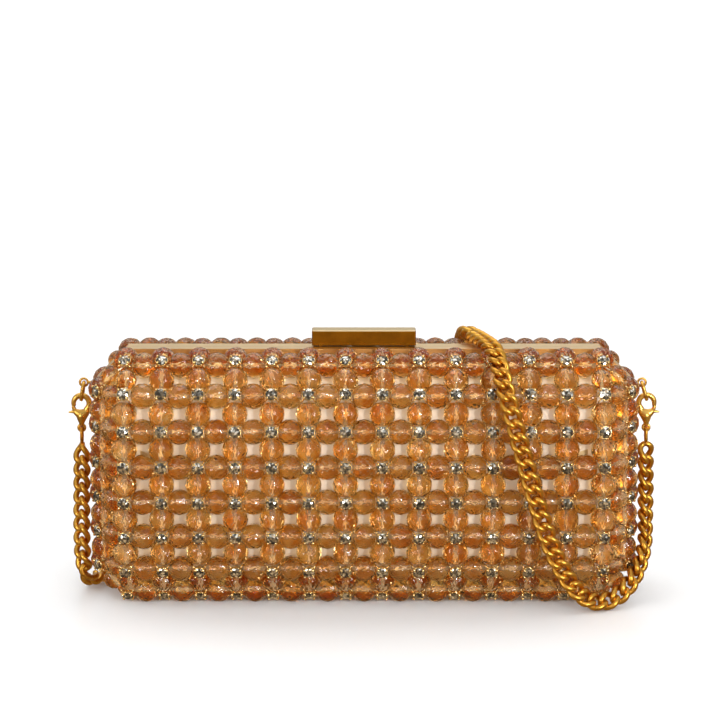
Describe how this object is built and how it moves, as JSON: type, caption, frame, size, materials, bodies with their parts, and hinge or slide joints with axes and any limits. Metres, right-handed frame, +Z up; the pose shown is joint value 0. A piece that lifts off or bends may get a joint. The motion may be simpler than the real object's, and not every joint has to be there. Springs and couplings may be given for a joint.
{
  "type": "evening bag",
  "caption": "Hard clam-shell evening bag: two hinged metal halves under a net of round glass beads and small set stones, with a lift-up bar clasp and a chain handle on lobster clasps.",
  "frame": {"origin": "middle of the bag's footprint: mid length, on the parting plane between the halves, at the surface it stands on", "axes": "+X along the bag, to the right as seen from the front; +Y to the back; +Z up"},
  "size_m": [0.1958, 0.0784, 0.0911],
  "materials": {
    "shell_brass": "plain sheet, hidden",
    "satin": "pale pinkish-gold satin",
    "lining_cloth": "satin lining",
    "frame_gilt": "brushed pale gold",
    "amber_glass": "faceted, clear amber",
    "setting_gilt": "polished gold",
    "clear_stone": "cut, foil backed",
    "hinge_gilt": "polished gold",
    "clasp_gilt": "brushed antique gold",
    "fitting_gilt": "polished gold",
    "chain_gilt": "satin gold",
    "spring_steel": "plain wire"
  },
  "bodies": {
    "front_half": {"front_shell": "shell_brass", "front_satin_cover": "satin", "front_lining": "lining_cloth", "front_frame_rim": "frame_gilt", "front_row_beads": "amber_glass", "front_column_beads": "amber_glass", "front_rim_beads": "amber_glass", "front_base_beads": "amber_glass", "front_stone_settings": "setting_gilt", "front_stones": "clear_stone", "front_hinge_leaves": "hinge_gilt", "hinge_pins": "spring_steel", "clasp_base": "clasp_gilt", "clasp_pin": "spring_steel", "clasp_spring": "spring_steel", "left_eyelet": "fitting_gilt", "right_eyelet": "fitting_gilt", "chain_front": "chain_gilt", "chain_rear": "chain_gilt", "chain_left": "chain_gilt"},
    "back_half": {"back_shell": "shell_brass", "back_satin_cover": "satin", "back_lining": "lining_cloth", "back_frame_rim": "frame_gilt", "back_row_beads": "amber_glass", "back_column_beads": "amber_glass", "back_rim_beads": "amber_glass", "back_base_beads": "amber_glass", "back_stone_settings": "setting_gilt", "back_stones": "clear_stone", "back_hinge_leaves": "hinge_gilt", "clasp_catch": "clasp_gilt"},
    "clasp_bar": {"clasp_bar": "clasp_gilt"},
    "left_hanger": {"left_ring": "fitting_gilt", "left_lobster_body": "fitting_gilt", "left_lobster_pin": "spring_steel", "left_lobster_spring": "spring_steel", "left_chain_link": "chain_gilt"},
    "left_lever": {"left_lobster_lever": "fitting_gilt"},
    "right_hanger": {"right_ring": "fitting_gilt", "right_lobster_body": "fitting_gilt", "right_lobster_pin": "spring_steel", "right_lobster_spring": "spring_steel", "right_chain_link": "chain_gilt"},
    "right_lever": {"right_lobster_lever": "fitting_gilt"}
  },
  "joints": [
    {"name": "case_opening", "type": "hinge", "parent": "front_half", "child": "back_half", "pos_m": [0, 0, 0.002], "axis": [-1, 0, 0], "range_deg": [0, 60], "deforming": ["chain_rear"]},
    {"name": "clasp_lift", "type": "hinge", "parent": "front_half", "child": "clasp_bar", "pos_m": [0, -0.0022, 0.08475], "axis": [1, 0, 0], "range_deg": [0, 15], "stiffness_Nm_per_rad": 0.005, "springref_deg": -11.46},
    {"name": "left_hanger_swing", "type": "hinge", "parent": "front_half", "child": "left_hanger", "pos_m": [-0.0929, -0.002, 0.0712], "axis": [0, 1, 0], "range_deg": [0, 20], "deforming": ["chain_left"]},
    {"name": "left_lever_open", "type": "hinge", "parent": "left_hanger", "child": "left_lever", "pos_m": [-0.09572, -0.002, 0.06117], "axis": [0, 1, 0], "range_deg": [0, 12], "stiffness_Nm_per_rad": 0.00002, "springref_deg": -17.19},
    {"name": "right_hanger_swing", "type": "hinge", "parent": "front_half", "child": "right_hanger", "pos_m": [0.0922, -0.002, 0.0712], "axis": [0, -1, 0], "range_deg": [0, 20], "deforming": ["chain_front"]},
    {"name": "right_lever_open", "type": "hinge", "parent": "right_hanger", "child": "right_lever", "pos_m": [0.09573, -0.002, 0.06133], "axis": [0, -1, 0], "range_deg": [0, 12], "stiffness_Nm_per_rad": 0.00002, "springref_deg": -17.19}
  ]
}
